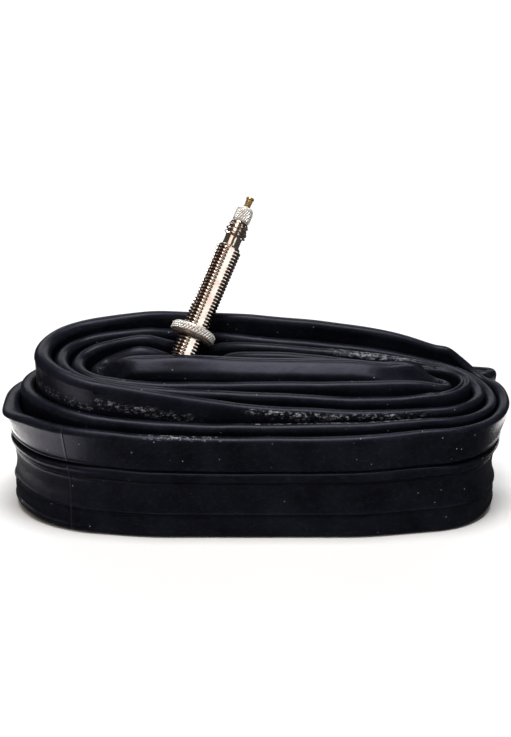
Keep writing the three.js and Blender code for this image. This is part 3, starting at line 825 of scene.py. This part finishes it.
def ramp(tree, value, low, high, to_low=0.0, to_high=1.0):
    """Maps low to to_low and high to to_high, and stays there beyond them."""
    node = add(tree, "ShaderNodeMapRange", clamp=True)
    node.inputs["From Min"].default_value = low
    node.inputs["From Max"].default_value = high
    node.inputs["To Min"].default_value = to_low
    node.inputs["To Max"].default_value = to_high
    tree.links.new(value, node.inputs["Value"])
    return node.outputs["Result"]


def maths(tree, operation, a, b):
    """The operation on two values, each a number or a node's output."""
    node = add(tree, "ShaderNodeMath", operation=operation)
    for socket, value in zip(node.inputs, (a, b)):
        if isinstance(value, (int, float)):
            socket.default_value = value
        else:
            tree.links.new(value, socket)
    return node.outputs[0]


def mix(tree, factor, a, b):
    """Colour a where the factor is 0 and b where it is 1, each a tuple or a node's output."""
    node = add(tree, "ShaderNodeMix", data_type="RGBA")
    tree.links.new(factor, node.inputs["Factor"])
    colour_inputs = [s for s in node.inputs if s.type == "RGBA"]
    for socket, value in zip(colour_inputs, (a, b)):
        if isinstance(value, tuple):
            socket.default_value = (*value, 1)
        else:
            tree.links.new(value, socket)
    return [s for s in node.outputs if s.type == "RGBA"][0]


def splice_line(tree, at):
    """1 on the line across the outer strand's front where the loop's two ends are joined."""
    split = add(tree, "ShaderNodeSeparateXYZ")
    tree.links.new(at, split.inputs[0])
    bend = ramp(tree, split.outputs["Z"], *SPLICE_HEIGHTS, *SPLICE_X)
    away = maths(tree, "ABSOLUTE", maths(tree, "SUBTRACT", split.outputs["X"], bend), 0)
    line = ramp(tree, away, SPLICE_HALF_WIDTH, SPLICE_HALF_WIDTH - 0.2)
    front = ramp(tree, split.outputs["Y"], SPLICE_Y, SPLICE_Y - 0.2)
    return maths(tree, "MULTIPLY", line, front)


def talc_and_dust(tree, at):
    """How much lies at a place: torn patches where the talc attribute is high, and specks anywhere."""
    most_talc, most_dust = 0.85, 0.8
    talc = add(tree, "ShaderNodeAttribute", attribute_name="talc").outputs["Fac"]
    clump = ramp(tree, noise(tree, at, 0.9, 5, 0.7), 0.49, 0.56)
    streak = ramp(tree, noise(tree, millimetres(tree, (0.25, 1, 1)), 3.0, 5, 0.75), 0.46, 0.60)
    patch = maths(tree, "MULTIPLY", maths(tree, "MULTIPLY", clump, streak), talc)
    speck = add(tree, "ShaderNodeTexVoronoi", Scale=0.42, Randomness=1.0)
    tree.links.new(at, speck.inputs["Vector"])
    near = ramp(tree, speck.outputs["Distance"], 0.07, 0.02)
    chance = ramp(tree, noise(tree, at, 0.5, 2), 0.44, 0.52)
    dust = maths(tree, "MULTIPLY", near, chance)
    patch, dust = maths(tree, "MULTIPLY", patch, most_talc), maths(tree, "MULTIPLY", dust, most_dust)
    return maths(tree, "MAXIMUM", patch, dust)


def bumped(tree, shader, layers):
    """Chains bump nodes: (height, strength, distance in millimetres)."""
    normal = None
    for height, strength, distance in layers:
        node = add(tree, "ShaderNodeBump", Strength=strength, Distance=distance * MM)
        tree.links.new(height, node.inputs["Height"])
        if normal is not None:
            tree.links.new(normal, node.inputs["Normal"])
        normal = node.outputs["Normal"]
    tree.links.new(normal, shader.inputs["Normal"])


def rubber(name, whole_loop=False):
    """Black rubber. The whole loop's also has talc, dust, haze and the splice."""
    material, tree, shader = nodes_of(name)
    at = millimetres(tree)
    broad = noise(tree, at, 0.12, 4)
    grain = noise(tree, at, 3.2, 4, 0.6)
    fine = noise(tree, at, 9.0, 2, 0.6)
    colour = mix(tree, ramp(tree, broad, 0.35, 0.7), DARK_RUBBER, PALE_RUBBER)
    colour = mix(tree, ramp(tree, grain, 0.5, 0.85, 0, 0.4), colour, GRAIN)
    rough = ramp(tree, broad, 0.3, 0.75, 0.26, 0.36)
    rough = maths(tree, "ADD", rough, ramp(tree, grain, 0.3, 0.8, 0, 0.10))
    layers = [(broad, 0.30, 0.8), (grain, 0.40, 0.05), (fine, 0.40, 0.03)]
    if whole_loop:
        dusty = talc_and_dust(tree, at)
        colour = mix(tree, dusty, colour, TALC_GREY)
        rough = maths(tree, "MAXIMUM", rough, ramp(tree, dusty, 0, 1, 0.3, 0.9))
        haze = noise(tree, at, 1.4, 6, 0.8)
        colour = mix(tree, ramp(tree, haze, 0.55, 0.85, 0, 0.10), colour, HAZE)
        splice = splice_line(tree, at)
        colour = mix(tree, maths(tree, "MULTIPLY", splice, 0.3), colour, SPLICE)
        layers.append((splice, 0.9, 0.25))
    tree.links.new(colour, shader.inputs["Base Color"])
    tree.links.new(rough, shader.inputs["Roughness"])
    shader.inputs["Specular IOR Level"].default_value = 0.16
    shader.inputs["Specular Tint"].default_value = (0.80, 0.78, 1.0, 1.0)
    bumped(tree, shader, layers)
    return material


def metal(name, bright, dull, rough, specks, metallic=1.0):
    """Plated or turned metal between two colours, with dull specks, fine scratches, and shade painted dark
    brown where the groove attribute is high.
    """
    material, tree, shader = nodes_of(name)
    at = millimetres(tree)
    broad = noise(tree, at, 0.5, 4)
    fine = noise(tree, at, 6.0, 4, 0.6)
    scratch = noise(tree, millimetres(tree, (1, 1, 0.15)), 9.0, 3, 0.6)
    colour = mix(tree, ramp(tree, broad, 0.4, 0.7), bright, dull)
    colour = mix(tree, ramp(tree, fine, 0.62, 0.8, 0, specks), colour, tuple(0.45 * c for c in dull))
    groove = add(tree, "ShaderNodeAttribute", attribute_name="groove").outputs["Fac"]
    # painted shade: the metal turns dark brown where the groove attribute is high, in cuts, grooves and
    # under the rim nut
    colour = mix(tree, ramp(tree, groove, 0.15, 0.9, 0, 0.86), colour, RECESS_SHADE_BROWN)
    tree.links.new(colour, shader.inputs["Base Color"])
    tree.links.new(ramp(tree, fine, 0.3, 0.8, rough, rough + 0.14), shader.inputs["Roughness"])
    shader.inputs["Metallic"].default_value = metallic
    bumped(tree, shader, [(scratch, 0.12, 0.02), (fine, 0.10, 0.015)])
    return material


# --- Putting it together --------------------------------------------------------------------------------

RUBBER = rubber("tube_rubber", whole_loop=True)
PAD_RUBBER = rubber("pad_rubber")
SEAL_RUBBER = rubber("seal_rubber")
NICKEL = metal("nickel_plate", (0.90, 0.80, 0.72), (0.76, 0.60, 0.50), rough=0.10, specks=0.5)
SATIN_NICKEL = metal("satin_nickel", (0.97, 0.95, 0.91), (0.90, 0.86, 0.80), rough=0.22, specks=0.2,
                     metallic=0.42)
BRASS = metal("brass", (0.95, 0.66, 0.28), (0.80, 0.50, 0.22), rough=0.20, specks=0.3, metallic=0.85)


def fit(piece, body, node, material):
    """Gives a piece its material and puts it in a CAD node's place."""
    piece.data.materials.clear()
    piece.data.materials.append(material)
    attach(piece, body)
    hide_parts(node)


fit(rubber_loop(), "tube", "inner_tube", RUBBER)
fit(pad(), "tube", "valve_pad", PAD_RUBBER)
fit(stem(), "tube", "valve_stem", NICKEL)
fit(core(), "tube", "core_body", NICKEL)
fit(rim_nut(), "nut", "rim_nut", SATIN_NICKEL)
fit(lock_nut(), "lock", "lock_nut", SATIN_NICKEL)
fit(pin(), "pin", "valve_pin", BRASS)

# the hidden seals and their cup keep their CAD shapes and only get materials
for node, material in (("core_gasket", SEAL_RUBBER), ("pin_seal", SEAL_RUBBER), ("seal_cup", BRASS)):
    kept = frame["nodes"][node]
    for index in range(len(kept.material_slots)):
        kept.material_slots[index].material = material


# --- Floor, light and camera ----------------------------------------------------------------------------

def matt_surface(name, dark, pale):
    """A matt and nearly even surface, for the floor and the cards, with its shader."""
    material, tree, shader = nodes_of(name)
    shade = noise(tree, millimetres(tree), 0.02, 2)
    tree.links.new(mix(tree, shade, dark, pale), shader.inputs["Base Color"])
    shader.inputs["Roughness"].default_value = 0.9
    return material, shader


def floor():
    """A round white floor, whose rings are finest in the middle."""
    radius, rings, sides = 3000, 24, 64
    points, faces = [(0, 0, 0)], []
    for i in range(1, rings + 1):
        r = radius * (i / rings) ** 2
        points += [(r * math.cos(2 * math.pi * k / sides), r * math.sin(2 * math.pi * k / sides), 0)
                   for k in range(sides)]
    faces += [(0, 1 + k, 1 + (k + 1) % sides) for k in range(sides)]
    for i in range(rings - 1):
        a, b = 1 + i * sides, 1 + (i + 1) * sides
        faces += [(a + k, b + k, b + (k + 1) % sides, a + (k + 1) % sides) for k in range(sides)]
    made = mesh_object("floor", points, faces)
    material, shader = matt_surface("floor", (0.90, 0.90, 0.90), (0.93, 0.93, 0.93))
    shader.inputs["Specular IOR Level"].default_value = 0.1
    made.data.materials.append(material)
    made.visible_glossy = False      # black rubber and bright metal would mirror it as a grey veil


def panel(name, direction, distance, size, power, colour=(1, 1, 1), aim=(0, 0, 0.03)):
    """A soft rectangular light, facing the object from that direction.

    direction is (azimuth, elevation) in degrees, with azimuth 0 in front of the bundle and 90 to its
    right. Lengths are in metres and the power is in watts.
    """
    data = bpy.data.lights.new(name, "AREA")
    data.shape = "RECTANGLE"
    data.size, data.size_y = size
    data.energy = power
    data.color = colour
    made = bpy.data.objects.new(name, data)
    azimuth, elevation = (math.radians(a) for a in direction)
    away = Vector((math.sin(azimuth) * math.cos(elevation), -math.cos(azimuth) * math.cos(elevation),
                   math.sin(elevation)))
    made.location = Vector(aim) + away * distance
    made.rotation_mode = "QUATERNION"
    made.rotation_quaternion = away.to_track_quat("Z", "Y")
    bpy.context.scene.collection.objects.link(made)


def world():
    """A faint even white all round."""
    made = bpy.data.worlds.new("studio")
    made.use_nodes = True
    background = made.node_tree.nodes["Background"]
    background.inputs["Color"].default_value = (1, 1, 1, 1)
    background.inputs["Strength"].default_value = 0.06
    bpy.context.scene.world = made


def bounce_card(name, azimuths, radii, height, strength):
    """A pale curved card low down beside the bundle, in millimetres, that only reflections see."""
    steps = 18
    start, end = azimuths
    points = []
    for k in range(steps + 1):
        azimuth = math.radians(start + (end - start) * k / steps)
        points += [(r * math.sin(azimuth), -r * math.cos(azimuth), height) for r in radii]
    faces = [(2 * k, 2 * k + 1, 2 * k + 3, 2 * k + 2) for k in range(steps)]
    made = mesh_object(name, points, faces)
    material, shader = matt_surface(name, (0.80, 0.78, 0.76), (0.84, 0.82, 0.80))
    shader.inputs["Emission Color"].default_value = (1, 0.97, 0.94, 1)
    shader.inputs["Emission Strength"].default_value = strength
    made.data.materials.append(material)
    made.visible_camera = False
    made.visible_diffuse = False
    made.visible_shadow = False


def camera():
    """An upright camera in front of the bundle, looking down at it."""
    pitch, distance, aim_above = math.radians(24), 0.600, 0.030
    lens, sensor = 126.0, 36.0
    data = bpy.data.cameras.new("camera")
    data.lens = lens
    data.sensor_fit = "VERTICAL"
    data.sensor_height = sensor
    data.clip_start, data.clip_end = 0.01, 20
    made = bpy.data.objects.new("camera", data)
    towards = Vector((0, math.cos(pitch), -math.sin(pitch)))
    up = Vector((0, math.sin(pitch), math.cos(pitch)))
    aim = Vector(SHIFT) * MM + up * aim_above
    made.location = aim - towards * distance
    made.rotation_mode = "QUATERNION"
    made.rotation_quaternion = (-towards).to_track_quat("Z", "Y")
    bpy.context.scene.collection.objects.link(made)
    bpy.context.scene.camera = made


floor()
world()
panel("overhead", (0, 84), 1.3, (0.7, 0.6), 18)
panel("back", (180, 34), 1.1, (1.6, 0.3), 5)
panel("front_right", (43, 25), 0.8, (0.22, 0.26), 0.24)
panel("front_left", (-28, 50), 0.8, (0.50, 0.26), 0.75, (1, 0.78, 0.62))
bounce_card("left_card", (-150, -50), (66, 82), height=6, strength=6.5)
bounce_card("right_card", (86, 112), (70, 82), height=8, strength=7.0)
camera()

view = bpy.context.scene.view_settings
view.view_transform = "Standard"
view.look = "None"
